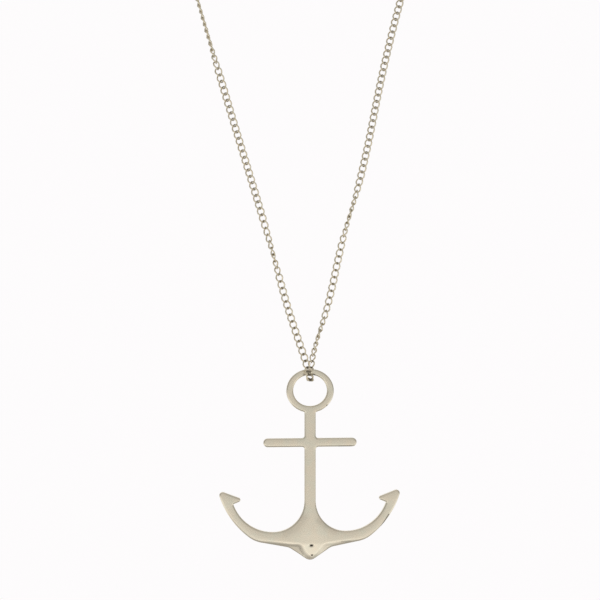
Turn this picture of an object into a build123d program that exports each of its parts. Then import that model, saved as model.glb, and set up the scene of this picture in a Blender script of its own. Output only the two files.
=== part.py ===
from build123d import *
from math import pi, radians, tan
import os

# Anchor pendant on a fine curb chain, in millimetres, hanging as it is worn.
# +Z is up and -Y is the wearer's front. The origin is at the nape of the neck,
# in the middle of the clasp, where the necklace rests.

# Centre of the anchor's ring, in front of and below the nape
hang_front = 118.0
hang_drop = 226.0

# Anchor: a flat casting, measured down from the centre of its ring
anchor_thick = 2.2
edge_round = 0.5
ring_wide = 14.3
ring_tall = 13.1
eye_wide = 10.2
eye_tall = 9.35
eye_rise = 0.1
ring_neck_round = 0.4
shank_wide = 3.35
stock_long = 28.1
stock_tall = 2.6
stock_drop = 15.5
stock_neck_round = 0.8

# Arms, from the lowest point of their inner edge: out, and down from the ring's centre
arm_low_out = 10.95
arm_low_drop = 42.25
belly_reach = 3.15
belly_deep = 3.15
heel_reach = 7.45
heel_deep = 1.35
back_bow = 1.45

# Crown, its shoulders and point below the arms' lowest point
shoulder_out = 6.3
shoulder_deep = 4.65
shoulder_round = 4.0
crown_deep = 9.0
crown_round = 2.2

# Flukes: the notch from the arm's lowest point, the barb and tip from the notch
notch_reach = 12.08
notch_rise = 8.56
notch_round = 0.25
barb_hook = 3.2
barb_rise = 1.3
barb_round = 0.62
tip_reach = 4.67
tip_rise = 4.29
tip_round = 1.0

# Bevels cut back on the front, below a crest line that leaves a beak in the middle of the crown
beak_half_wide = 3.4
beak_above_shoulder = 0.9
beak_above_crown = 1.75
crest_below_heel = 0.8
bevel_deep = 0.45
bevel_slope = 45.0

# Chain, as a tube of the links' outer width, and the gap where it goes through the ring
chain_thick = 2.1
hang_gap = 0.35
sag_gap = 0.35

# Clasp: a plain ring with an eye and a trigger stub
clasp_ring_radius = 3.0
clasp_wire_radius = 0.6
clasp_eye_radius = 1.0
clasp_eye_wire_radius = 0.35
clasp_stub_long = 1.4
clasp_stub_radius = 0.4
clasp_gap = 0.2

os.makedirs("parts", exist_ok=True)

anchor_plane = Plane(origin=(0, -hang_front, -hang_drop), x_dir=(1, 0, 0), z_dir=(0, -1, 0))
half_thick = anchor_thick / 2
half_shank = shank_wide / 2
ring_foot = (0, -(eye_tall + ring_tall) / 4)


# Corners of the outline's right half
arm_low = (arm_low_out, -arm_low_drop)
notch = (arm_low_out + notch_reach, notch_rise - arm_low_drop)
barb = (notch[0] - barb_hook, notch[1] + barb_rise)
tip = (notch[0] + tip_reach, notch[1] + tip_rise)
heel = (arm_low_out + heel_reach, -arm_low_drop - heel_deep)
belly = (arm_low_out + belly_reach, -arm_low_drop - belly_deep)
shoulder = (shoulder_out, -arm_low_drop - shoulder_deep)
crown = (0, -arm_low_drop - crown_deep)
beak_foot = (0, crown[1] + beak_above_crown)
beak_shoulder = (beak_half_wide, shoulder[1] + beak_above_shoulder)
crest_end = (heel[0], heel[1] - crest_below_heel)
below_crest = (heel[0], crown[1] - crown_deep)
below_crown = (0, crown[1] - crown_deep)
stock_top = (half_shank, stock_tall / 2 - stock_drop)
stock_foot = (half_shank, -stock_tall / 2 - stock_drop)
ring_neck = (half_shank, -ring_tall / 2 * (1 - (shank_wide / ring_wide) ** 2) ** 0.5)


def corners(sketch, *places):
    """The vertices of a sketch that lie nearest to the given places and to their mirror images."""
    both_sides = [Vector(side * out, up) for out, up in places for side in (-1, 1)]
    return ShapeList([sketch.vertices().sort_by_distance(place)[0] for place in both_sides])


def anchor_outline():
    """The right half of shank, arm and fluke as a closed line, without the ring and stock."""
    shank_top = (half_shank, ring_foot[1])
    fillet_radius = arm_low_out - half_shank
    fillet_top = (half_shank, fillet_radius - arm_low_drop)
    Polyline(crown, ring_foot, shank_top, fillet_top)
    JernArc(fillet_top, (0, -1), fillet_radius, 90)
    TangentArc(arm_low, notch, tangent=(1, 0))
    Polyline(notch, barb, tip)
    back = SagittaArc(tip, heel, back_bow)
    TangentArc(heel, belly, tangent=back % 1)
    Polyline(belly, shoulder, crown)


with BuildPart() as anchor:
    with BuildSketch(anchor_plane) as flat_anchor:
        with BuildLine():
            anchor_outline()
        make_face()
        mirror(about=Plane.YZ)
        fillet(corners(flat_anchor, notch), notch_round)
        fillet(corners(flat_anchor, barb), barb_round)
        fillet(corners(flat_anchor, tip), tip_round)
        fillet(corners(flat_anchor, shoulder), shoulder_round)
        fillet(corners(flat_anchor, crown)[:1], crown_round)
        with Locations((0, -stock_drop)):
            SlotOverall(stock_long, stock_tall)
        fillet(corners(flat_anchor, stock_top, stock_foot), stock_neck_round)
        Ellipse(ring_wide / 2, ring_tall / 2)
        fillet(corners(flat_anchor, ring_neck), ring_neck_round)
        with Locations((0, eye_rise)):
            Ellipse(eye_wide / 2, eye_tall / 2, mode=Mode.SUBTRACT)
    extrude(amount=half_thick, both=True)
    front_face = anchor.faces().sort_by(Axis.Y)[0]
    back_face = anchor.faces().sort_by(Axis.Y)[-1]
    fillet(front_face.edges() + back_face.edges(), edge_round)
    with BuildSketch(anchor_plane.offset(half_thick)):
        with BuildLine():
            crest = Polyline(beak_foot, beak_shoulder, crest_end, below_crest, below_crown)
            mirror(crest, about=Plane.YZ)
        make_face()
    extrude(amount=-bevel_deep, taper=bevel_slope, mode=Mode.SUBTRACT)

anchor.part.label = "anchor"
export_step(anchor.part, "parts/anchor.step")

# The chain hangs through the ring: down the front, under the top of the ring and up behind it
chain_radius = chain_thick / 2
ring_top_inside = eye_tall / 2 + eye_rise
loop_out = half_thick + chain_radius + hang_gap
loop_low = ring_top_inside - chain_radius - sag_gap
ring_side_out = clasp_ring_radius + clasp_wire_radius
eye_centre_out = ring_side_out + clasp_eye_radius
eye_side_out = eye_centre_out + clasp_eye_radius + clasp_eye_wire_radius

# Route of the chain in front, from the fold in the ring up to the collarbones.
# Each point: out to the side, back from the anchor's plane, up from the ring's centre.
LEFT_STRAND = [
    (-1.2, -2.3, 8.6),
    (-3.3, -1.0, 15.2),
    (-7.3, -0.1, 26.5),
    (-12.4, 0.0, 46.0),
    (-24.7, 0.0, 86.0),
    (-40.6, 0.4, 140.0),
    (-48.6, 4.2, 166.0),
]
RIGHT_STRAND = [
    (0.7, 2.3, 8.8),
    (2.1, 1.0, 15.0),
    (5.8, 0.1, 26.5),
    (9.8, 0.0, 46.0),
    (15.9, 0.0, 65.0),
    (23.2, 0.0, 103.0),
    (34.4, 0.6, 142.0),
    (45.6, 5.0, 167.0),
]
# Route round one side of the neck, from the collarbone to the clasp.
# Each point: out to the side, forward of the nape, down from the nape.
NECK_SIDE = [
    (54.6, 102.5, 38.0),
    (59.2, 82.5, 23.0),
    (59.8, 58.0, 14.0),
    (54.5, 35.0, 7.6),
    (42.5, 16.5, 3.6),
    (27.0, 5.0, 1.2),
    (12.5, 0.5, 0.2),
]


def strand_points(strand, side, clasp_out):
    """A strand's route in the frame of the nape, from the fold's middle to the clasp."""
    fold_middle = Vector(0, -hang_front, loop_low - hang_drop)
    fold_corner = Vector(0, side * loop_out - hang_front, loop_low - hang_drop)
    front = [Vector(out, back - hang_front, up - hang_drop) for out, back, up in strand]
    neck = [Vector(side * out, -forward, -down) for out, forward, down in NECK_SIDE]
    clasp_point = Vector(side * (clasp_out + clasp_gap), 0, 0)
    return [fold_middle, fold_corner] + front + neck + [clasp_point]


def bend_radii(points):
    """The largest arc that each corner's two runs allow, as round as a slack chain hangs."""
    radii = []
    for before, here, after in zip(points, points[1:], points[2:]):
        turn = (here - before).get_angle(after - here)
        shorter = min((here - before).length, (after - here).length)
        radii.append(0.45 * shorter / tan(radians(turn / 2)))
    return radii


def strand_tube(strand, side, clasp_out):
    """One strand of the chain as a tube along its route, with its radii printed."""
    points = strand_points(strand, side, clasp_out)
    mirrored_middle = points[1] + (points[0] - points[1]) * 2
    radii = bend_radii([mirrored_middle] + points[1:])
    with BuildPart() as tube:
        with BuildLine():
            path = FilletPolyline(*points, radius=radii)
        with BuildSketch(Plane(origin=path @ 0, z_dir=path % 0)):
            Circle(chain_radius)
        sweep()
    runs = [(after - before).length for before, after in zip(points, points[1:])]
    print("runs", [round(run, 1) for run in runs])
    print("radii", [round(radius, 1) for radius in radii])
    print("length", round(path.length, 1), "volume", round(tube.part.volume, 1))
    print("section times length", round(pi * chain_radius ** 2 * path.length, 1))
    return tube.part


left_tube = strand_tube(LEFT_STRAND, -1, ring_side_out)
left_tube.label = "chain_left"
export_step(left_tube, "parts/chain_left.step")

right_tube = strand_tube(RIGHT_STRAND, 1, eye_side_out)
right_tube.label = "chain_right"
export_step(right_tube, "parts/chain_right.step")

with BuildPart(Plane.XZ) as clasp:
    Torus(clasp_ring_radius, clasp_wire_radius)
    with Locations((eye_centre_out, 0, 0)):
        Torus(clasp_eye_radius, clasp_eye_wire_radius)
    with Locations((0, -clasp_ring_radius - clasp_stub_long / 2, 0)):
        Cylinder(clasp_stub_radius, clasp_stub_long, rotation=(90, 0, 0))

clasp.part.label = "clasp"
export_step(clasp.part, "parts/clasp.step")
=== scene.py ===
"""Anchor pendant on a fine curb chain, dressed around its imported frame.

The casting, the links and the clasp are built here at the places that the frame gives. Everything is in
metres, +Z up, with the wearer's front towards -Y.
"""

from __future__ import annotations

import logging
from dataclasses import asdict, dataclass
from enum import Enum
from math import cos, pi, radians, sin

import bmesh
import bpy
import numpy as np
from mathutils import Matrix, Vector

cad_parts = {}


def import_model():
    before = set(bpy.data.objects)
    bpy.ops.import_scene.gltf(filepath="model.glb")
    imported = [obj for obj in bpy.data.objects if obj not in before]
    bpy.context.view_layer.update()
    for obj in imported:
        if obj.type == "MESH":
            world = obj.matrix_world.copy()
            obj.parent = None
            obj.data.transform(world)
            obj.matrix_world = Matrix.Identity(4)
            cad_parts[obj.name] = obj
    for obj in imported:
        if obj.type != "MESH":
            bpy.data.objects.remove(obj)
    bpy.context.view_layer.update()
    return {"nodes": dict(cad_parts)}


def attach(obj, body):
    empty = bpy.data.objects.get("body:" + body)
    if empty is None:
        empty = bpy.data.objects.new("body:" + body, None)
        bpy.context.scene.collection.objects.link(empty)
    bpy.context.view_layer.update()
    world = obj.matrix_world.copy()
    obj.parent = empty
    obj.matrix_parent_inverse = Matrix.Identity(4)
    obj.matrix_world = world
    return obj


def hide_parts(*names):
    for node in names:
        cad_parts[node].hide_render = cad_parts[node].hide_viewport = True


Array = np.ndarray
Socket = bpy.types.NodeSocket
LOG = logging.getLogger("anchor_pendant")
MM = 0.001

# Centre of the anchor's ring, in front of and below the nape
HANG_FRONT = 118.0 * MM
HANG_DROP = 226.0 * MM

# Route of the chain in front, from the fold in the ring up to the collarbones, in millimetres.
# Each point: out to the side, back from the anchor's plane, up from the ring's centre.
LEFT_STRAND = [
    (-1.4, -2.3, 8.6), (-3.6, -1.0, 15.2), (-7.3, -0.1, 26.5), (-12.4, 0.0, 46.0),
    (-24.7, 0.0, 86.0), (-40.6, 0.4, 140.0), (-48.6, 4.2, 166.0),
]
RIGHT_STRAND = [
    (0.7, 2.3, 8.8), (2.1, 1.0, 15.0), (5.8, 0.1, 26.5), (9.8, 0.0, 46.0),
    (15.9, 0.0, 65.0), (23.2, 0.0, 103.0), (34.4, 0.6, 142.0), (45.6, 5.0, 167.0),
]
# Route round one side of the neck, from the collarbone to the clasp, in millimetres.
# Each point: out to the side, forward of the nape, down from the nape.
NECK_SIDE = [
    (54.6, 102.5, 38.0), (59.2, 82.5, 23.0), (59.8, 58.0, 14.0), (54.5, 35.0, 7.6),
    (42.5, 16.5, 3.6), (27.0, 5.0, 1.2), (12.5, 0.5, 0.2),
]
# The fold inside the ring: how far in front of and behind the anchor's plane, and how high
FOLD_OUT = 2.5
FOLD_UP = 3.375


class Side(Enum):
    """A side of the necklace, as the viewer sees it."""

    LEFT = -1
    RIGHT = 1


def placed(name: str, data: bpy.types.ID) -> bpy.types.Object:
    """Puts a new object into the scene.

    Args:
        name: the object's name.
        data: its mesh, light or camera.

    Returns:
        The object, at the origin.
    """
    piece = bpy.data.objects.new(name, data)
    bpy.context.scene.collection.objects.link(piece)
    return piece


def new_mesh_object(name: str, vertices: Array, faces: list) -> bpy.types.Object:
    """Makes a mesh object from vertices and faces.

    Args:
        name: the object's name.
        vertices: points, one row each.
        faces: lists of vertex numbers.

    Returns:
        The object, at the origin.
    """
    mesh = bpy.data.meshes.new(name)
    mesh.from_pydata(vertices.tolist(), [], faces)
    mesh.validate()
    return placed(name, mesh)


def points_of(mesh: bpy.types.Mesh) -> Array:
    """Reads the vertices of a mesh, one row each."""
    return np.array([vertex.co for vertex in mesh.vertices])


class NodeTree:
    """A short way to add and link the nodes of any node tree."""

    def __init__(self, tree: bpy.types.NodeTree) -> None:
        """Keeps the tree that the nodes go into."""
        self.tree = tree

    @classmethod
    def emptied(cls, owner: bpy.types.ID) -> NodeTree:
        """Takes over a material's or world's node tree.

        Args:
            owner: the material or world.

        Returns:
            Its tree, emptied.
        """
        owner.use_nodes = True
        owner.node_tree.nodes.clear()
        return cls(owner.node_tree)

    def declare(self, in_out: str, kind: str, *names: str) -> None:
        """Declares sockets of one direction and type on a node group."""
        for name in names:
            self.tree.interface.new_socket(name, in_out=in_out, socket_type="NodeSocket" + kind)

    def add(self, kind: str, inputs: dict | None = None, **settings: object) -> bpy.types.Node:
        """Adds a node.

        Args:
            kind: the node's type name.
            inputs: values or output sockets for its inputs, by name or number.
            settings: the node's own properties, set before its inputs.

        Returns:
            The new node.
        """
        node = self.tree.nodes.new(kind)
        for key, value in settings.items():
            setattr(node, key, value)
        for key, value in (inputs or {}).items():
            if isinstance(value, Socket):
                self.tree.links.new(value, node.inputs[key])
            else:
                node.inputs[key].default_value = value
        return node

    def math(self, operation: str, *values: object) -> Socket:
        """Adds a Math node and returns its result."""
        return self.add("ShaderNodeMath", dict(enumerate(values)), operation=operation).outputs[0]

    def vector_math(self, operation: str, *values: object) -> Socket:
        """Adds a Vector Math node and returns its vector."""
        return self.add("ShaderNodeVectorMath", dict(enumerate(values)), operation=operation).outputs[0]

    def noise(self, place: object, scale: object, detail: float, roughness: float = 0.5) -> Socket:
        """Adds a Noise Texture node and returns its value."""
        inputs = {"Vector": place, "Scale": scale, "Detail": detail, "Roughness": roughness}
        return self.add("ShaderNodeTexNoise", inputs).outputs["Fac"]

    def span(self, value: object, low: object, high: object, top: object = 1.0) -> Socket:
        """Adds a Map Range node, from 0 at the low value to the top at the high one."""
        inputs = {"Value": value, "From Min": low, "From Max": high, "To Max": top}
        return self.add("ShaderNodeMapRange", inputs).outputs[0]

    def read(self, name: str, kind: str = "FLOAT") -> Socket:
        """Reads a named attribute of the geometry."""
        node = self.add("GeometryNodeInputNamedAttribute", {"Name": name}, data_type=kind)
        return node.outputs["Attribute"]

    def store(self, geometry: object, name: str, value: object, kind: str = "FLOAT") -> Socket:
        """Keeps a value at each point of the geometry, and returns the geometry."""
        inputs = {"Geometry": geometry, "Name": name, "Value": value}
        return self.add("GeometryNodeStoreNamedAttribute", inputs, data_type=kind, domain="POINT").outputs[0]


@dataclass(frozen=True)
class Plating:
    """A plated finish with cloudy colour, painted shade and dirt, fine polishing lines and soft waves.

    Attributes:
        name: the material's name.
        light: colour of the clean plating.
        warm: colour of the warmer clouds.
        cool: colour of the cooler clouds.
        cloud_scale: clouds to a metre.
        roughness: roughness of the clean plating.
        rough_span: how much the clouds change it.
        wave_bump: depth of the soft waves.
        line_bump: depth of the polishing lines.
        crevice: colour painted into edges, creases, crossings and pits: painted shade and dark reflections,
            and dirt.
    """

    name: str
    light: tuple[float, float, float]
    warm: tuple[float, float, float]
    cool: tuple[float, float, float]
    cloud_scale: float
    roughness: float
    rough_span: float
    wave_bump: float
    line_bump: float = 0.0
    crevice: tuple[float, float, float] = (0.07, 0.05, 0.035)

    def material(self, **marking_attributes: str) -> bpy.types.Material:
        """Builds the finish.

        Args:
            marking_attributes: names of the mesh attributes for the painted shade and dirt, and for polish.

        Returns:
            The material.
        """
        made = bpy.data.materials.new(self.name)
        tree = NodeTree.emptied(made)
        settings = {"place": tree.add("ShaderNodeTexCoord").outputs["Object"]}
        for name, value in asdict(self).items():
            settings[name] = (*value, 1.0) if isinstance(value, tuple) else value
        del settings["name"]
        for name, attribute in marking_attributes.items():
            settings[name] = tree.add("ShaderNodeAttribute", attribute_name=attribute).outputs["Fac"]
        finish = tree.add("ShaderNodeGroup", settings, node_tree=plating_group()).outputs
        bump = tree.add("ShaderNodeBump", {"Height": finish["height"], "Strength": 1.0, "Distance": MM})
        look = {
            "Base Color": finish["colour"],
            "Roughness": finish["roughness"],
            "Normal": bump.outputs["Normal"],
            "Metallic": 1.0,
        }
        shader = tree.add("ShaderNodeBsdfPrincipled", look)
        tree.add("ShaderNodeOutputMaterial", {"Surface": shader.outputs[0]})
        return made


# What all plated metal shares: noise levels between which warm and cool clouds come in, the cool ones'
# shift, polishing lines and waves to a metre, and what full polish and the painted shade and dirt add to the
# roughness
WARM_SPAN = (0.42, 0.68)
COOL_SPAN = (0.45, 0.7)
CLOUD_SHIFT = (0.31, 0.17, 0.23)
LINE_SCALE = (9000.0, 9000.0, 900.0)
WAVE_SCALE = 260.0
POLISH_ROUGHNESS = -0.12
SHADE_AND_DIRT_ROUGHNESS = 0.35


def plating_group() -> bpy.types.NodeTree:
    """The shared shader group of all plated metal, built once.

    Returns:
        A group that turns a place into colour, roughness and height.
    """
    name = "plated_metal"
    if name in bpy.data.node_groups:
        return bpy.data.node_groups[name]
    tree = NodeTree(bpy.data.node_groups.new(name, "ShaderNodeTree"))
    tree.declare("INPUT", "Vector", "place")
    tree.declare("INPUT", "Float", "dirt", "polish", "cloud_scale", "roughness", "rough_span")
    tree.declare("INPUT", "Float", "line_bump", "wave_bump")
    tree.declare("INPUT", "Color", "light", "warm", "cool", "crevice")
    tree.declare("OUTPUT", "Color", "colour")
    tree.declare("OUTPUT", "Float", "roughness", "height")
    given = tree.add("NodeGroupInput").outputs
    place = given["place"]
    wide = tree.noise(place, given["cloud_scale"], 3.0, 0.6)
    other = tree.noise(tree.vector_math("ADD", place, CLOUD_SHIFT), given["cloud_scale"], 2.0)
    layers = [
        (tree.span(wide, *WARM_SPAN), given["warm"]),
        (tree.span(other, *COOL_SPAN), given["cool"]),
        # Last layer: painted shade and dark reflections, with dirt, where the mask says
        (given["dirt"], given["crevice"]),
    ]
    colour = given["light"]
    for share, over in layers:
        mix = tree.add("ShaderNodeMix", {"Factor": share, "A": colour, "B": over}, data_type="RGBA")
        colour = mix.outputs["Result"]
    lines = tree.noise(tree.vector_math("MULTIPLY", place, LINE_SCALE), 1.0, 1.0)
    waves = tree.noise(place, WAVE_SCALE, 1.0)
    line_height = tree.math("MULTIPLY", lines, given["line_bump"])
    height = tree.math("MULTIPLY_ADD", waves, given["wave_bump"], line_height)
    spread = tree.math("SUBTRACT", wide, 0.5)
    clean = tree.math("MULTIPLY_ADD", spread, given["rough_span"], given["roughness"])
    polished = tree.math("MULTIPLY_ADD", given["polish"], POLISH_ROUGHNESS, clean)
    rough = tree.math("MULTIPLY_ADD", given["dirt"], SHADE_AND_DIRT_ROUGHNESS, polished)
    tree.add("NodeGroupOutput", {"colour": colour, "roughness": rough, "height": height})
    return tree.tree


class Finish(Enum):
    """The finishes of the necklace."""

    CASTING = Plating(
        "champagne_casting",
        light=(0.82, 0.75, 0.594),
        warm=(0.84, 0.75, 0.585),
        cool=(0.79, 0.75, 0.60),
        cloud_scale=420.0,
        roughness=0.27,
        rough_span=0.12,
        wave_bump=0.014,
        line_bump=0.0012,
        # Colour of the painted shade and dark reflections on the casting
        crevice=(0.045, 0.035, 0.03),
    )
    LINKS = Plating(
        "champagne_links",
        light=(0.78, 0.70, 0.52),
        warm=(0.80, 0.69, 0.485),
        cool=(0.75, 0.70, 0.54),
        cloud_scale=900.0,
        roughness=0.13,
        rough_span=0.08,
        wave_bump=0.004,
        # Colour of the painted shade and dirt in the crossings of the links
        crevice=(0.10, 0.08, 0.055),
    )
    CLASP = Plating(
        "champagne_clasp",
        light=(0.79, 0.71, 0.57),
        warm=(0.80, 0.69, 0.53),
        cool=(0.75, 0.70, 0.57),
        cloud_scale=700.0,
        roughness=0.16,
        rough_span=0.1,
        wave_bump=0.006,
    )


@dataclass
class FlatField:
    """Values on a square grid in the anchor's own plane, in millimetres.

    Attributes:
        low: the grid's first corner, out and up.
        step: the grid's spacing.
        values: the values, out by up.
    """

    low: Array
    step: float
    values: Array

    def at(self, out: Array, up: Array) -> Array:
        """Reads the field between its grid points.

        Args:
            out: places to the side.
            up: their heights.

        Returns:
            The value at each place.
        """
        x, z = (
            np.clip((place - low) / self.step, 0, count - 1.001)
            for place, low, count in zip((out, up), self.low, self.values.shape)
        )
        i, k = x.astype(int), z.astype(int)
        fx, fz = x - i, z - k
        near, far = (self.values[i, row] * (1 - fx) + self.values[i + 1, row] * fx for row in (k, k + 1))
        return near * (1 - fz) + far * fz


@dataclass
class AnchorCasting:
    """The cast anchor, a smooth plate with rounded edges, and bevels that leave a beak on its crown.

    Lengths are in millimetres in the anchor's own plane: out to the side, up from the ring's centre and
    forward of the middle of the plate.

    Attributes:
        node: the casting's node in the frame.
        thick: thickness of the plate.
        edge_round: radius of the rounded edges.
        edge_thin: thickness below which the edges are sharpest.
        cell: size of the mesh's cells.
        edge_dip: how much lower the plate is near its edges.
        dip_reach: how far in from the edge that dip reaches.
        crest_up: height of the crest's middle, without the beak.
        crest_rise: its rise for each millimetre out to the side.
        crest_fall: the first, gentle fall of the front there.
        beak_deep: drop of the beak below the crest.
        beak_shift: how far the beak's point sits to the right.
        beak_slope: fall of the beak's front.
        belly_slope: fall of the plate above the crest.
        beak_bow: how round the beak is from side to side.
        side_blend: width over which the left flank turns into the right one.
        belly_wide: half width of the belly and the beak's front.
        bevel_reach: how far out the bevels run.
        wear_reach: how far out the crest is polished by wear.
        side_fade: length over which both fade out.
    """

    node: str = "anchor"
    thick: float = 2.2
    edge_round: float = 0.6
    edge_thin: float = 1.0
    cell: float = 0.16
    edge_dip: float = 0.34
    dip_reach: float = 0.95
    crest_up: float = -46.3
    crest_rise: float = 0.1
    crest_fall: float = 0.16
    beak_deep: float = 3.6
    beak_shift: float = 0.45
    beak_slope: float = 0.12
    belly_slope: float = 0.05
    beak_bow: float = 0.012
    side_blend: float = 0.8
    belly_wide: float = 5.0
    bevel_reach: float = 17.5
    wear_reach: float = 14.0
    side_fade: float = 5.0

    # Left and right side of the crown: half width of the beak, how far below the crest the step ends, its
    # depth, and the fall of the bevel
    LEFT_FLANK = (2.5, 0.9, 0.12, 0.26)
    RIGHT_FLANK = (2.9, 0.9, 0.02, 0.21)
    # Bends of the front: how far above the crest line, or for beak and belly above its middle, and how soft
    CREST_BEND = (0.5, 0.12)
    BEVEL_BEND = (-0.2, 0.1)
    BEAK_BEND = (0.5, 0.25)
    BELLY_BENDS = [(4.2, 0.6), (0.0, 0.3)]
    # Wear on the beak: where it begins above the crest, over what height it grows, and where it ends below.
    # Wear along the crest: how far above it, and half its height.
    BEAK_WEAR = (0.9, 0.8, 0.4)
    CREST_WEAR = (0.2, 0.5)
    # Where the front keeps its height to the edge: half width, highest place, and how gradually it begins
    FULL_CROWN = (9.0, -45.3, 1.5)
    # How far from the edge distances are measured, and what stands for the rest
    EDGE_BAND = 0.5
    FAR = 3.0
    # Where the plate is thin its edges are sharper: from what share of the radius, over how much thickness
    THIN_SHARE = 0.45
    THIN_SPAN = 0.8
    # How far the net's layers lie off the plate's middle, in cells, so that none lies on a face
    LAYER_SHIFT = 0.37
    # Pits and shallow hollows: out, up, half width, half height, depth. The painted dark reflection in a pit
    # grows with its depth, by a gain and less a start.
    PIT_DARK_REFLECTION = (3.0, 0.6)
    PITS = [
        (0.35, -46.35, 0.5, 0.28, 0.25),
        (0.55, -49.3, 0.30, 0.18, 0.15),
        (4.95, -4.35, 0.14, 0.14, 0.15),
    ]
    HOLLOWS = [(-4.0, -41.4, 1.5, 1.9, 0.07), (5.0, -40.7, 1.5, 1.9, 0.07)]
    # Darker streaks: painted dark reflections along the right arm's outer edge, the stock's lower edge and
    # the crest, a painted shadow in the crease left of the beak, three darker marks on the ring's front
    # beside the chain, and painted shade in the corners beside the shank: out and up of both ends, half
    # width, darkness
    STREAKS = [
        (23.75, -37.3, 21.4, -40.95, 0.17, 0.9),
        (8.6, -16.68, 12.4, -16.62, 0.16, 0.5),
        (9.4, -45.3, 12.2, -45.2, 0.2, 0.35),
        (-3.2, -47.2, -2.1, -49.0, 0.25, 0.4),
        (-2.0, 4.95, -1.7, 4.85, 0.3, 0.5),
        (0.95, 4.8, 1.2, 4.7, 0.35, 0.9),
        (-0.95, 5.8, 0.15, 5.8, 0.35, 0.8),
        (-1.9, -37.9, -3.9, -40.9, 1.3, 0.14),
        (-3.9, -40.9, -7.4, -42.7, 1.3, 0.12),
        (2.4, -38.8, 4.9, -40.8, 0.9, 0.15),
        (4.9, -40.8, 7.4, -42.4, 0.9, 0.1),
    ]

    def outline(self, mesh: bpy.types.Mesh) -> Array:
        """Cuts the frame's casting at mid thickness.

        Args:
            mesh: the mesh of the casting's node.

        Returns:
            The cut's segments, two points of out and up each.
        """
        mesh.calc_loop_triangles()
        triangles = points_of(mesh)[[list(triangle.vertices) for triangle in mesh.loop_triangles]]
        height = triangles[:, :, 1] + HANG_FRONT + 1e-7
        next_corner, next_height = np.roll(triangles, -1, 1), np.roll(height, -1, 1)
        crossed = height * next_height < 0
        share = height / np.where(crossed, height - next_height, 1)
        ends = triangles + share[..., None] * (next_corner - triangles)
        cut = ends[crossed].reshape(-1, 2, 3)[:, :, [0, 2]]
        cut[:, :, 1] += HANG_DROP
        return cut / MM

    def filled(self, segments: Array, step: float) -> tuple[Array, Array, Array, Array]:
        """Lays a grid over the outline, a margin wider all round, and fills the outline row by row.

        Args:
            segments: the outline.
            step: the grid's spacing, a whole share of the cell.

        Returns:
            The first corner, places to the side and up, and an array that is true inside.
        """
        margin = 8 * self.cell
        low = segments.reshape(-1, 2).min(0) - margin
        high = segments.reshape(-1, 2).max(0) + margin
        counts = (np.ceil((high - low) / self.cell).astype(int)) * int(round(self.cell / step)) + 1
        out = low[0] + np.arange(counts[0]) * step
        up = low[1] + np.arange(counts[1]) * step
        mask = np.zeros((len(out), len(up)), bool)
        a, b = segments[:, 0], segments[:, 1]
        for k, level in enumerate(up):
            level += 1e-6
            hit = (a[:, 1] > level) != (b[:, 1] > level)
            share = (level - a[hit, 1]) / (b[hit, 1] - a[hit, 1])
            crossings = np.sort(a[hit, 0] + share * (b[hit, 0] - a[hit, 0]))
            mask[:, k] = np.searchsorted(crossings, out) % 2 == 1
        return low, out, up, mask

    def distance(self, segments: Array, points: Array) -> Array:
        """Measures how far points are from the nearest segment.

        Args:
            segments: the segments.
            points: the points, one row each.

        Returns:
            Each point's distance.
        """
        a = segments[:, 0]
        run = segments[:, 1] - a
        length = np.maximum((run ** 2).sum(1), 1e-12)
        nearest = np.empty(len(points))
        chunk = 4000
        for start in range(0, len(points), chunk):
            some = points[start:start + chunk, None, :] - a[None]
            share = np.clip((some * run[None]).sum(2) / length, 0, 1)
            away = some - share[..., None] * run[None]
            nearest[start:start + chunk] = np.sqrt((away ** 2).sum(2).min(1))
        return nearest

    def blurred(self, values: Array, reach: float) -> Array:
        """Softens a grid of values.

        Args:
            values: the grid.
            reach: how far, in grid steps.

        Returns:
            The softened grid.
        """
        half = int(3 * reach)
        weights = np.exp(-0.5 * (np.arange(-half, half + 1) / reach) ** 2)
        weights /= weights.sum()
        for axis in (0, 1):
            values = np.apply_along_axis(lambda row: np.convolve(row, weights, mode="same"), axis, values)
        return values

    def fields(self, mesh: bpy.types.Mesh) -> dict[str, FlatField]:
        """Works out the plate's shape, and where the painted shade and dark reflections go.

        Args:
            mesh: the mesh of the casting's node.

        Returns:
            Distance inside the outline, heights of front and back, the painted shade and dark reflections,
            and polish, from 0 to 1.
        """
        step = self.cell / 2
        segments = self.outline(mesh)
        low, out, up, mask = self.filled(segments, step)
        filled = mask.astype(float)
        soft, near = (self.blurred(filled, far / step) for far in (self.dip_reach, self.EDGE_BAND))
        places = np.stack(np.meshgrid(out, up, indexing="ij"), -1)
        band = (near > 0.002) & (soft < 0.9999)
        inside = np.where(mask, self.FAR, -self.FAR)
        reach = self.distance(segments, places[band])
        inside[band] = np.where(mask[band], reach, -reach)
        wide, top, fade = self.FULL_CROWN
        on_crown = np.exp(-((places[..., 0] / wide) ** 4)) * np.clip((top - places[..., 1]) / fade, 0, 1)
        dip = self.edge_dip * (soft - 1)
        back = self.thick / 2 + dip
        front = self.thick / 2 + dip * (1 - on_crown)
        fall, polish = self.crown_fall(places[..., 0], places[..., 1])
        front -= fall
        # Painted shade and painted dark reflections: darker pits, edges, creases and corners
        dirt = np.zeros_like(front)
        for hollow in self.HOLLOWS:
            front -= self.dimple(places, hollow)
        # Pits are painted darker with their depth, as painted dark reflections
        gain, start = self.PIT_DARK_REFLECTION
        for pit in self.PITS:
            shape = self.dimple(places, pit)
            front -= shape
            dirt = np.maximum(dirt, np.clip(shape / pit[-1] * gain - start, 0, 1))
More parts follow.
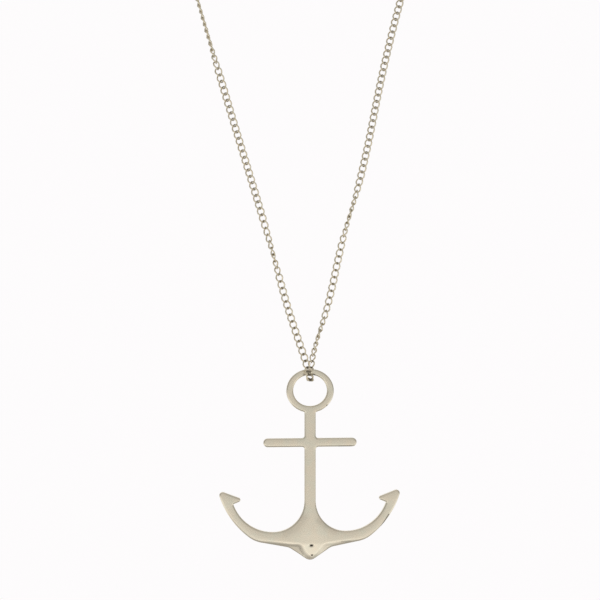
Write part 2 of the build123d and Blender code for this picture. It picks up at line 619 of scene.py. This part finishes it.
        # Painted dark reflections and painted shade along each streak
        for *ends, wide, dark in self.STREAKS:
            away = self.distance(np.array(ends).reshape(1, 2, 2), places.reshape(-1, 2)).reshape(dirt.shape)
            dirt = np.maximum(dirt, dark * np.exp(-((away / wide) ** 2)))
        values = {"inside": inside, "front": front, "back": back, "dirt": dirt, "polish": polish}
        return {name: FlatField(low, step, value) for name, value in values.items()}

    def dimple(self, places: Array, hollow: tuple[float, ...]) -> Array:
        """The depth of one round hollow at each place."""
        out, up, wide, tall, depth = hollow
        return depth * np.exp(-(((places[..., 0] - out) / wide) ** 2) - ((places[..., 1] - up) / tall) ** 2)

    def crown_fall(self, out: Array, up: Array) -> tuple[Array, Array]:
        """Shapes the beak and the bevels under the crest.

        Args:
            out: places to the side.
            up: their heights.

        Returns:
            The fall of the front, and the polish of crest and beak from 0 to 1.
        """
        aside = out - self.beak_shift
        rightness = 0.5 + 0.5 * np.tanh(aside / self.side_blend)
        flanks = [a + (b - a) * rightness for a, b in zip(self.LEFT_FLANK, self.RIGHT_FLANK)]
        beak_wide, step_tall, step_deep, bevel_slope = flanks
        across = aside / beak_wide
        beak = self.beak_deep * np.exp(-(np.abs(across) ** 3))
        crest = self.crest_up + self.crest_rise * np.abs(out) - beak
        below = (crest - up) / np.hypot(1, 3 * across ** 2 * beak / beak_wide)
        middle = np.exp(-((out / self.belly_wide) ** 4))
        bends = (self.CREST_BEND, self.BEVEL_BEND)
        over_crest, over_bevel = (self.ramp(below + above, soft) for above, soft in bends)
        step = np.clip(below / step_tall, 0, 1)
        bevel = self.crest_fall * (over_crest - over_bevel)
        bevel += step_deep * step ** 2 * (3 - 2 * step)
        bevel += (bevel_slope - middle * self.beak_slope) * over_bevel
        bevel *= self.faded(out, self.bevel_reach)
        front = self.beak_slope * self.bend(up, *self.BEAK_BEND) + self.beak_bow * beak * across ** 2
        start, end = (self.bend(up, *row) for row in self.BELLY_BENDS)
        front += self.belly_slope * (start - end)
        lead, grow, last = self.BEAK_WEAR
        on_beak = np.clip((self.crest_up + lead - up) / grow, 0, 1) * np.clip(1 - below / last, 0, 1)
        over, tall = self.CREST_WEAR
        on_crest = np.exp(-(((below + over) / tall) ** 2)) * self.faded(out, self.wear_reach)
        return bevel + middle * front, np.maximum(middle * on_beak, on_crest)

    def faded(self, out: Array, reach: float) -> Array:
        """One in the middle, fading to zero at a reach to either side."""
        return np.clip((reach - np.abs(out)) / self.side_fade, 0, 1)

    def bend(self, up: Array, above: float, softness: float) -> Array:
        """The depth below a level that lies above the middle of the crest, with a soft bend."""
        return self.ramp(self.crest_up + above - up, softness)

    def ramp(self, value: Array, softness: float) -> Array:
        """Zero below zero and the value above it, with a soft bend."""
        return softness * np.logaddexp(0, value / softness)

    def solid(self, fields: dict[str, FlatField], points: Array) -> Array:
        """The signed distance of points from the casting's surface, negative inside."""
        out, up, forward = points.T
        return self.rounded(*(fields[name].at(out, up) for name in ("inside", "front", "back")), forward)

    def rounded(self, depth: Array, front: Array, back: Array, forward: Array) -> Array:
        """Joins the plate's walls to its faces with the rounded edge.

        Args:
            depth: distance inside the outline.
            front: height of the front.
            back: height of the back.
            forward: the places' own height.

        Returns:
            Their signed distance from the surface, negative inside.
        """
        thick = (front + back - self.edge_thin) / self.THIN_SPAN
        radius = self.edge_round * np.clip(thick, self.THIN_SHARE, 1)
        wall = radius - depth
        face = np.maximum(forward - front, -forward - back) + radius
        outer = np.hypot(np.maximum(wall, 0), np.maximum(face, 0))
        return np.minimum(np.maximum(wall, face), 0) + outer - radius

    def net(self, fields: dict[str, FlatField]) -> tuple[Array, Array]:
        """Wraps the casting in a net of four-sided faces.

        Args:
            fields: the plate's shape.

        Returns:
            The net's points and its faces.
        """
        layers = int(np.ceil((self.thick / 2 + 3 * self.cell) / self.cell))
        forward = np.arange(-layers, layers + 1) * self.cell + self.cell * self.LAYER_SHIFT
        depth, front, back = (fields[name].values[::2, ::2, None] for name in ("inside", "front", "back"))
        volume = self.rounded(depth, front, back, forward[None, None, :])
        total, hits = self.crossings(volume)
        used = hits > 0
        numbers = np.full(hits.shape, -1)
        numbers[used] = np.arange(used.sum())
        start = np.array([*fields["inside"].low, forward[0]])
        points = start + (np.argwhere(used) + total[used] / hits[used][:, None]) * self.cell
        return points, self.net_faces(volume < 0, numbers)

    def crossings(self, volume: Array) -> tuple[Array, Array]:
        """Sums up in each cell where the surface crosses its edges.

        Args:
            volume: signed distances at the cells' corners.

        Returns:
            The sums of the crossings' places and their number.
        """
        hits = np.zeros(np.array(volume.shape) - 1)
        total = np.zeros((*hits.shape, 3))
        for axis in range(3):
            corners, sums, numbers = (np.moveaxis(grid, axis, 0) for grid in (volume, total, hits))
            first, second = corners[:-1], corners[1:]
            crossed = (first < 0) != (second < 0)
            share = np.where(crossed, first / np.where(crossed, first - second, 1), 0)
            one, other = (number for number in range(3) if number != axis)
            for i, j in ((0, 0), (0, 1), (1, 0), (1, 1)):
                part = (slice(None), slice(i, i + numbers.shape[1]), slice(j, j + numbers.shape[2]))
                numbers += crossed[part]
                sums[..., axis] += share[part]
                sums[..., one] += crossed[part] * i
                sums[..., other] += crossed[part] * j
        return total, hits

    def net_faces(self, signs: Array, numbers: Array) -> Array:
        """Joins the points of the four cells round each crossed edge.

        Args:
            signs: true at the corners that lie inside.
            numbers: the number of each cell's point.

        Returns:
            The faces, four point numbers each.
        """
        faces = []
        for axis in range(3):
            core = np.moveaxis(signs, axis, 0)[:, 1:-1, 1:-1]
            before, after = (np.moveaxis(part, 0, axis) for part in (core[:-1], core[1:]))
            for leaving in (True, False):
                found = np.argwhere((before & ~after) if leaving else (~before & after))
                found += 1 - np.eye(3, dtype=int)[axis]
                ring = []
                for i, j in ((0, 0), (1, 0), (1, 1), (0, 1)):
                    move = np.zeros(3, int)
                    move[(axis + 1) % 3], move[(axis + 2) % 3] = -i, -j
                    ring.append(numbers[tuple((found + move).T)])
                quads = np.stack(ring, -1)
                faces.append(quads if leaving else quads[:, ::-1])
        return np.concatenate(faces)

    def settle(self, fields: dict[str, FlatField], points: Array) -> tuple[Array, Array]:
        """Moves the net's points onto the surface.

        Args:
            fields: the plate's shape.
            points: the net's points.

        Returns:
            The moved points and the surface's normals there.
        """
        probe, longest, rounds = 0.04, 0.1, 4
        normals = np.zeros_like(points)
        for _ in range(rounds):
            value = self.solid(fields, points)
            for axis, shift in enumerate(np.eye(3) * probe):
                rise = self.solid(fields, points + shift) - self.solid(fields, points - shift)
                normals[:, axis] = rise / (2 * probe)
            length = np.maximum(np.linalg.norm(normals, axis=1), 0.2)
            move = np.clip(value / length, -longest, longest)
            points = points - move[:, None] * normals / length[:, None]
        return points, normals / np.linalg.norm(normals, axis=1)[:, None]

    def upright(self, values: Array) -> Array:
        """Turns points or directions from the anchor's own plane to the frame."""
        return np.stack([values[:, 0], -values[:, 2], values[:, 1]], -1)

    def build(self, nodes: dict[str, bpy.types.Object]) -> None:
        """Builds the casting over its node.

        Args:
            nodes: the frame's nodes, by name.
        """
        fields = self.fields(nodes[self.node].data)
        points, faces = self.net(fields)
        points, normals = self.settle(fields, points)
        corners = self.upright(points) * MM + np.array([0.0, -HANG_FRONT, -HANG_DROP])
        piece = new_mesh_object("anchor_casting", corners, faces.tolist())
        mesh = piece.data
        mesh.polygons.foreach_set("use_smooth", np.ones(len(mesh.polygons), bool))
        mesh.normals_split_custom_set_from_vertices(self.upright(normals).tolist())
        # The painted shade and dark reflections, and the polish, are kept on the front only
        for name in ("dirt", "polish"):
            spread = mesh.attributes.new(name, "FLOAT", "POINT")
            share = fields[name].at(points[:, 0], points[:, 1]) * (points[:, 2] > 0)
            spread.data.foreach_set("value", share)
        mesh.materials.append(Finish.CASTING.value.material(dirt="dirt", polish="polish"))
        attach(piece, "anchor")
        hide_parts(self.node)
        LOG.info("anchor casting: %d faces", len(mesh.polygons))


@dataclass
class CurbChain:
    """The curb chain: flat twisted links, each through the next, along one route.

    Lengths are in millimetres.

    Attributes:
        link_long: outer length of a link.
        link_wide: outer width of a link.
        wire: thickness of the wire.
        end_twist: turn of a link's ends from its middle, in degrees.
        squareness: how far the oval is filled out towards a rectangle.
        around: sections along a link's wire.
        sides: sides of the wire.
        loose: random turn of each link, in degrees.
        seed: start of the random turns.
        neck_middle: the middle of the neck, in front of the nape.
        neck_lean: how steeply the chain's flat side leans out there.
    """

    link_long: float = 3.0
    link_wide: float = 2.4
    wire: float = 0.46
    end_twist: float = -42.0
    squareness: float = 2.1
    around: int = 14
    sides: int = 5
    loose: float = 5.0
    seed: int = 7
    neck_middle: float = 58.0
    neck_lean: float = 18.0

    # Turn of the flat chain about its own line, in degrees: height above the ring's centre, turn. A strand
    # that turns by half a round shows its edge on the way and then its other side.
    LEFT_TURNS = [
        (9.0, 180.0), (14.0, 185.0), (32.0, 185.0), (33.8, 168.0), (36.3, 130.0), (39.8, 108.0),
        (41.1, 90.0), (42.2, 72.0), (45.4, 48.0), (49.3, 30.0), (51.5, 5.0), (93.5, 5.0),
        (95.4, -12.0), (97.2, -42.0), (99.3, -55.0), (102.7, -78.0), (103.8, -92.0), (112.0, -90.0),
    ]
    RIGHT_TURNS = [
        (3.0, -360.0), (8.0, -325.0), (12.0, -303.0), (14.0, -296.0), (15.9, -287.0), (17.4, -276.0),
        (18.6, -264.0), (20.1, -249.0), (22.3, -232.0), (24.0, -219.0), (26.0, -204.0), (28.5, -187.0),
        (41.5, -185.0), (43.4, -168.0), (45.9, -143.0), (48.3, -121.0), (51.3, -103.0), (54.0, -91.0),
        (56.4, -78.0), (60.3, -55.0), (61.8, -30.0), (64.5, -8.0), (66.0, -5.0),
    ]
    # How dark the crossings are painted, with painted shade between the links and with dirt, most where the
    # chain
    # rubs on the ring: height above its centre, share
    GRIME = [(0.0, 0.88), (6.4, 0.92), (8.3, 0.7), (12.0, 0.56), (15.0, 0.56)]
    # How far apart the links hang: height above the ring's centre, step
    LEFT_STEPS = [(0.0, 2.08), (45.0, 2.08), (58.0, 1.985), (80.0, 1.965), (104.0, 1.95), (125.0, 1.986)]
    RIGHT_STEPS = [
        (0.0, 1.97), (14.0, 1.97), (24.0, 2.07), (38.0, 2.13), (48.0, 2.06), (60.0, 1.995), (104.0, 1.96),
        (125.0, 2.005),
    ]
    # Where the last links hold the clasp, out to the side
    CLASP_ENDS = {Side.LEFT: -3.42, Side.RIGHT: 6.27}
    # Shares of the random turn along and across a link
    LOOSE_SHARES = (1.0, 0.35, 0.35)
    # Where a link's painted dark crossing starts along it, its change with the painted shade and grime, and
    # where it is full
    CROSSING = (1.2, -0.6, 0.97)

    def route(self) -> list[tuple[Vector, Vector]]:
        """Gives the whole route, clasp to clasp.

        Returns:
            Each point, and which way the chain's flat side faces there.
        """
        hang = Vector((0.0, -HANG_FRONT, -HANG_DROP)) / MM
        halves = []
        for side, strand in ((Side.LEFT, LEFT_STRAND), (Side.RIGHT, RIGHT_STRAND)):
            flip = float(side.value)
            half = [(Vector((self.CLASP_ENDS[side], 0.0, 0.0)), Vector((0.0, 0.0, -flip)))]
            for out, forward, down in reversed(NECK_SIDE):
                point = Vector((flip * out, -forward, -down))
                away = Vector((point.x, point.y + self.neck_middle, self.neck_lean))
                half.append((point, away.normalized() * -flip))
            facing = Vector((0.0, flip, 0.0))
            halves.append(half + [(hang + Vector(point), facing) for point in reversed(strand)])
        left, right = halves
        fold = [
            (hang + Vector((0.0, -FOLD_OUT, FOLD_UP)), Vector((0.0, -1.0, -1.0))),
            (hang + Vector((0.0, FOLD_OUT, FOLD_UP)), Vector((0.0, 1.0, -1.0))),
        ]
        return left + fold + right[::-1]

    def smooth_line(self) -> tuple[Array, Array]:
        """Runs one smooth line through the route.

        Returns:
            Points along the line and which way the chain faces there.
        """
        route = self.route()
        lines = []
        for column in (0, 1):
            curve = bpy.data.curves.new("route", "CURVE")
            curve.dimensions = "3D"
            curve.resolution_u = 24
            spline = curve.splines.new("NURBS")
            spline.points.add(len(route) - 1)
            for point, entry in zip(spline.points, route):
                point.co = (*entry[column], 1.0)
            spline.order_u = 3
            spline.use_endpoint_u = True
            holder = bpy.data.objects.new("route", curve)
            mesh = bpy.data.meshes.new_from_object(holder)
            lines.append(points_of(mesh))
            bpy.data.objects.remove(holder)
            bpy.data.curves.remove(curve)
            bpy.data.meshes.remove(mesh)
        return tuple(lines)

    def by_height(self, points: Array, left: list, right: list) -> Array:
        """Reads a list of heights and values for each strand.

        Args:
            points: points along the line, clasp to clasp.
            left: the left strand's list.
            right: the right strand's list.

        Returns:
            The value at each point.
        """
        up = points[:, 2] + HANG_DROP / MM
        fold = int(np.argmin(np.hypot(up - FOLD_UP, points[:, 1] + HANG_FRONT / MM)))
        on_left, on_right = (np.interp(up, *zip(*rows)) for rows in (left, right))
        return np.where(np.arange(len(points)) < fold, on_left, on_right)

    def centres(self) -> tuple[Array, Array, Array, Array]:
        """Sets the links' centres along the line.

        Returns:
            The centres, which way the flat side faces, its turn in radians, and how dark the crossings are
            painted, with shade and grime.
        """
        line, facing = self.smooth_line()
        runs = np.linalg.norm(np.diff(line, axis=0), axis=1)
        steps = self.by_height(line, self.LEFT_STEPS, self.RIGHT_STEPS)
        passed = np.concatenate([[0.0], np.cumsum(runs / steps[1:])])
        places = np.linspace(0.0, passed[-1], int(round(passed[-1])) + 1)
        points, faces_to = (
            np.stack([np.interp(places, passed, column) for column in rows.T], -1) for rows in (line, facing)
        )
        turns = np.radians(self.by_height(points, self.LEFT_TURNS, self.RIGHT_TURNS))
        return points, faces_to, turns, self.by_height(points, self.GRIME, self.GRIME)

    def tree(self) -> bpy.types.NodeTree:
        """Builds the tree that hangs links on a line.

        Returns:
            The Geometry Nodes tree.
        """
        tree = NodeTree(bpy.data.node_groups.new("curb_chain", "GeometryNodeTree"))
        tree.declare("INPUT", "Geometry", "line")
        tree.declare("INPUT", "Float", "link_long", "link_wide", "wire", "end_twist", "squareness", "loose")
        tree.declare("INPUT", "Int", "around", "sides", "seed")
        tree.declare("OUTPUT", "Geometry", "chain")
        given = tree.add("NodeGroupInput").outputs
        line = tree.add("GeometryNodeMeshToCurve", {"Mesh": given["line"]}).outputs[0]
        tangent = tree.add("GeometryNodeInputTangent").outputs[0]
        align = "FunctionNodeAlignRotationToVector"
        along = tree.add(align, {"Vector": tangent}, axis="X").outputs[0]
        faced = {"Rotation": along, "Vector": tree.read("facing", "FLOAT_VECTOR")}
        flat = tree.add(align, faced, axis="Z", pivot_axis="X").outputs[0]
        least = tuple(-share for share in self.LOOSE_SHARES)
        limits = {"Min": least, "Max": self.LOOSE_SHARES, "Seed": given["seed"]}
        wobble = tree.add("FunctionNodeRandomValue", limits, data_type="FLOAT_VECTOR").outputs["Value"]
        scaled = {0: wobble, "Scale": tree.math("RADIANS", given["loose"])}
        wobbled = tree.add("ShaderNodeVectorMath", scaled, operation="SCALE").outputs[0]
        turned = tree.add("ShaderNodeCombineXYZ", {"X": tree.read("turn")}).outputs[0]
        euler = tree.vector_math("ADD", turned, wobbled)
        spin = tree.add("FunctionNodeEulerToRotation", {0: euler}).outputs[0]
        both = {"Rotation": flat, "Rotate By": spin}
        final = tree.add("FunctionNodeRotateRotation", both, rotation_space="LOCAL").outputs[0]
        stored = tree.store(line, "link_rotation", final, "QUATERNION")
        as_points = tree.add("GeometryNodeCurveToPoints", {"Curve": stored}, mode="EVALUATED")
        placing = {
            "Points": as_points.outputs["Points"],
            "Instance": self.link_nodes(tree, given),
            "Rotation": tree.read("link_rotation", "QUATERNION"),
        }
        links = tree.add("GeometryNodeInstanceOnPoints", placing).outputs[0]
        real = tree.add("GeometryNodeRealizeInstances", {"Geometry": links}).outputs[0]
        # Painted shade and dirt at the crossings of the links
        grime = tree.read("grime")
        start, change, full = self.CROSSING
        start = tree.math("MULTIPLY_ADD", grime, change, start)
        crossing = tree.span(tree.read("at_ends"), start, full, grime)
        marked = tree.store(real, "crossing", crossing)
        smooth = tree.add("GeometryNodeSetShadeSmooth", {"Geometry": marked}).outputs[0]
        tree.add("NodeGroupOutput", {"chain": smooth})
        return tree.tree

    def link_nodes(self, tree: NodeTree, given: bpy.types.bpy_prop_collection) -> Socket:
        """Adds the nodes of one link: an oval of wire, twisted along its length.

        Args:
            tree: the tree that they go into.
            given: the tree's inputs.

        Returns:
            The socket that gives the link's mesh.
        """
        circle = tree.add("GeometryNodeCurvePrimitiveCircle", {"Resolution": given["around"], "Radius": 1.0})
        position = tree.add("GeometryNodeInputPosition").outputs[0]
        place = tree.add("ShaderNodeSeparateXYZ", {0: position}).outputs
        power = tree.math("DIVIDE", 2.0, given["squareness"])
        filled_out = []
        for way in (place["X"], place["Y"]):
            size = tree.math("POWER", tree.math("ABSOLUTE", way), power)
            filled_out.append(tree.math("MULTIPLY", size, tree.math("SIGN", way)))
        along, across = filled_out
        half_long, half_wide = (
            tree.math("MULTIPLY", tree.math("SUBTRACT", given[name], given["wire"]), 0.5)
            for name in ("link_long", "link_wide")
        )
        y = tree.math("MULTIPLY", across, half_wide)
        twist = tree.math("MULTIPLY", along, tree.math("RADIANS", given["end_twist"]))
        oval = {
            "X": tree.math("MULTIPLY", along, half_long),
            "Y": tree.math("MULTIPLY", y, tree.math("COSINE", twist)),
            "Z": tree.math("MULTIPLY", y, tree.math("SINE", twist)),
        }
        marked = tree.store(circle.outputs["Curve"], "at_ends", tree.math("ABSOLUTE", along))
        moved = {"Geometry": marked, "Position": tree.add("ShaderNodeCombineXYZ", oval).outputs[0]}
        shaped = tree.add("GeometryNodeSetPosition", moved).outputs[0]
        radius = tree.math("MULTIPLY", given["wire"], 0.5)
        section = {"Resolution": given["sides"], "Radius": radius}
        profile = tree.add("GeometryNodeCurvePrimitiveCircle", section)
        wire = {"Curve": shaped, "Profile Curve": profile.outputs["Curve"]}
        return tree.add("GeometryNodeCurveToMesh", wire).outputs[0]

    def build(self) -> None:
        """Builds the chain over its two tubes."""
        points, facing, turns, grime = self.centres()
        base = bpy.data.meshes.new("chain_line")
        base.from_pydata((points * MM).tolist(), [(i, i + 1) for i in range(len(points) - 1)], [])
        rows = [
            ("facing", "FLOAT_VECTOR", "vector", facing.ravel()),
            ("turn", "FLOAT", "value", turns),
            ("grime", "FLOAT", "value", grime),
        ]
        for name, kind, field, values in rows:
            base.attributes.new(name, kind, "POINT").data.foreach_set(field, values)
        holder = placed("chain_line", base)
        modifier = holder.modifiers.new("curb_chain", "NODES")
        modifier.node_group = self.tree()
        values = asdict(self)
        for name in ("link_long", "link_wide", "wire"):
            values[name] *= MM
        for socket in modifier.node_group.interface.items_tree:
            if socket.name in values:
                modifier[socket.identifier] = values[socket.name]
        graph = bpy.context.evaluated_depsgraph_get()
        mesh = bpy.data.meshes.new_from_object(holder.evaluated_get(graph))
        bpy.data.objects.remove(holder)
        mesh.name = "curb_chain"
        mesh.materials.clear()
        mesh.materials.append(Finish.LINKS.value.material(dirt="crossing"))
        piece = placed("curb_chain", mesh)
        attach(piece, "chain")
        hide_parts("chain_left", "chain_right")
        LOG.info("curb chain: %d faces", len(mesh.polygons))


@dataclass
class RingClasp:
    """The plain ring clasp at the nape.

    Attributes:
        node: the clasp's node in the frame.
        smooth_below: the sharpest turn between faces that still looks round, in degrees.
    """

    node: str = "clasp"
    smooth_below: float = 40.0

    def build(self, nodes: dict[str, bpy.types.Object]) -> None:
        """Builds a smooth clasp on a merged copy of its node.

        Args:
            nodes: the frame's nodes, by name.
        """
        mesh = nodes[self.node].data.copy()
        mesh.name = "ring_clasp"
        merged = bmesh.new()
        merged.from_mesh(mesh)
        bmesh.ops.remove_doubles(merged, verts=merged.verts, dist=0.001 * MM)
        merged.to_mesh(mesh)
        merged.free()
        mesh.shade_smooth()
        mesh.set_sharp_from_angle(angle=radians(self.smooth_below))
        mesh.materials.clear()
        mesh.materials.append(Finish.CLASP.value.material())
        piece = placed("ring_clasp", mesh)
        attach(piece, "chain")
        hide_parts(self.node)
        LOG.info("ring clasp: %d faces", len(mesh.polygons))


@dataclass
class Studio:
    """A pale floor, plain soft light and the camera.

    Attributes:
        distance: from the camera to the anchor's plane, in metres.
        lens: the camera's lens, in millimetres.
        turn: the camera's turn to the viewer's left, in degrees.
        aim: what the picture's middle shows, from the ring's centre, in metres.
        floor_drop: the floor, below the nape, in metres.
        floor_sides: corners of the round floor.
        white: colour of the floor and the backdrop.
    """

    distance: float = 0.35
    lens: float = 70.0
    turn: float = 5.0
    aim: tuple[float, float] = (-0.00303, 0.02724)
    floor_drop: float = 0.50
    floor_sides: int = 96
    white: tuple[float, float, float] = (0.985, 0.970, 0.976)

    # What the metal sees of the floor: reach from the middle in metres, glow
    FLOOR_GLOW = [
        (0.0, 0.40), (0.1, 0.42), (0.187, 0.50), (0.26, 0.63), (0.33, 0.86), (0.4, 1.25), (0.48, 0.95),
        (0.61, 0.86), (1.05, 0.765), (1.95, 0.71), (3.0, 0.69),
    ]
    # What it sees of the tent: sine of the height, glow
    TENT_GLOW = [
        (-1.0, 0.42), (-0.09, 0.70), (0.0, 0.69), (0.2, 0.68), (0.5, 0.63), (0.75, 0.54), (1.0, 0.51),
    ]
    # Duller sides, and the white backdrop behind: how far to the side or to the back, share or glow
    SIDE_SHARE = [(0.0, 1.0), (0.2, 1.0), (0.5, 0.9), (0.9, 0.6), (1.0, 0.55)]
    BACKDROP = [(0.0, 0.0), (0.7, 0.0), (0.88, 1.0), (1.0, 1.0)]
    # Soft lights: name, place from the ring's centre, size and power
    CARDS = [
        ("light_top", (-0.10, -0.35, 0.70), 0.8, 0.2),
        ("light_left", (-0.55, -0.45, 0.15), 0.5, 0.1),
        ("light_right", (0.55, -0.40, 0.10), 0.5, 0.1),
    ]

    def build(self) -> None:
        """Builds the floor, the light and the camera."""
        self.floor()
        self.world()
        self.cards()
        self.camera()
        bpy.context.scene.view_settings.view_transform = "Standard"
        LOG.info("studio ready")

    def floor(self) -> None:
        """A round floor, pale in every view and duller underneath to the metal."""
        wide = self.FLOOR_GLOW[-1][0]
        turns = np.arange(self.floor_sides) * 2 * pi / self.floor_sides
        rim = np.stack([np.cos(turns), np.sin(turns), 0 * turns], -1) * wide
        rim -= np.array([0.0, HANG_FRONT, self.floor_drop])
        piece = new_mesh_object("floor", rim, [list(range(self.floor_sides))])
        made = bpy.data.materials.new("pale_floor")
        tree = NodeTree.emptied(made)
        place = tree.add("ShaderNodeTexCoord").outputs["Object"]
        from_middle = tree.vector_math("SUBTRACT", place, (0.0, -HANG_FRONT, -self.floor_drop))
        reach = tree.add("ShaderNodeVectorMath", {0: from_middle}, operation="LENGTH").outputs["Value"]
        stops = [(at / wide, level) for at, level in self.FLOOR_GLOW]
        glow = self.ramp(tree, tree.math("DIVIDE", reach, wide), stops)
        seen = tree.add("ShaderNodeLightPath").outputs["Is Camera Ray"]
        strength = tree.math("MAXIMUM", glow, seen)
        shine = tree.add("ShaderNodeEmission", {"Color": (*self.white, 1.0), "Strength": strength})
        tree.add("ShaderNodeOutputMaterial", {"Surface": shine.outputs[0]})
        piece.data.materials.append(made)

    def ramp(self, tree: NodeTree, value: Socket, stops: list) -> Socket:
        """Turns a value from 0 to 1 into a level through a list of stops.

        Args:
            tree: the tree that the node goes into.
            value: the value's socket.
            stops: pairs of place and level, in order.

        Returns:
            The level's socket.
        """
        node = tree.add("ShaderNodeValToRGB", {"Fac": value})
        node.color_ramp.interpolation = "EASE"
        elements = node.color_ramp.elements
        while len(elements) < len(stops):
            elements.new(0.5)
        for element, (place, level) in zip(elements, stops):
            element.position = place
            element.color = (level, level, level, 1.0)
        return node.outputs["Color"]

    def world(self) -> None:
        """White to the eye, and a soft tent with duller sides and top to the metal."""
        made = bpy.data.worlds.new("studio")
        bpy.context.scene.world = made
        tree = NodeTree.emptied(made)
        way = tree.add("ShaderNodeTexCoord").outputs["Generated"]
        axes = tree.add("ShaderNodeSeparateXYZ", {0: way}).outputs
        height = tree.math("MULTIPLY_ADD", axes["Z"], 0.5, 0.5)
        tent = self.ramp(tree, height, [((z + 1) / 2, level) for z, level in self.TENT_GLOW])
        aside = self.ramp(tree, tree.math("ABSOLUTE", axes["X"]), self.SIDE_SHARE)
        behind = self.ramp(tree, tree.math("MAXIMUM", axes["Y"], 0.0), self.BACKDROP)
        level = tree.math("MAXIMUM", tree.math("MULTIPLY", tent, aside), behind)
        seen = tree.add("ShaderNodeLightPath").outputs["Is Camera Ray"]
        strength = tree.math("MAXIMUM", level, seen)
        wall = tree.add("ShaderNodeBackground", {"Color": (*self.white, 1.0), "Strength": strength})
        tree.add("ShaderNodeOutputWorld", {"Surface": wall.outputs[0]})

    def cards(self) -> None:
        """Soft lights above and to the sides."""
        middle = Vector((0.0, -HANG_FRONT, -HANG_DROP))
        for name, offset, size, power in self.CARDS:
            light = bpy.data.lights.new(name, "AREA")
            light.shape = "SQUARE"
            light.size = size
            light.energy = power
            holder = placed(name, light)
            holder.location = middle + Vector(offset)
            holder.rotation_euler = (-Vector(offset)).to_track_quat("-Z", "Y").to_euler()

    def camera(self) -> None:
        """The camera at the photograph's angle."""
        lens = bpy.data.cameras.new("camera")
        lens.lens = self.lens
        lens.clip_start = 0.01
        holder = placed("camera", lens)
        target = Vector((self.aim[0], -HANG_FRONT, self.aim[1] - HANG_DROP))
        turn = radians(self.turn)
        holder.location = target + Vector((-sin(turn), -cos(turn), 0.0)) * self.distance
        holder.rotation_euler = (target - holder.location).to_track_quat("-Z", "Y").to_euler()
        bpy.context.scene.camera = holder


def main() -> None:
    """Loads the frame and dresses every piece."""
    logging.basicConfig(level=logging.INFO, format="%(name)s: %(message)s")
    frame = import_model()
    Studio().build()
    CurbChain().build()
    RingClasp().build(frame["nodes"])
    AnchorCasting().build(frame["nodes"])
    LOG.info("boxes kept")


if __name__ == "__main__":
    main()
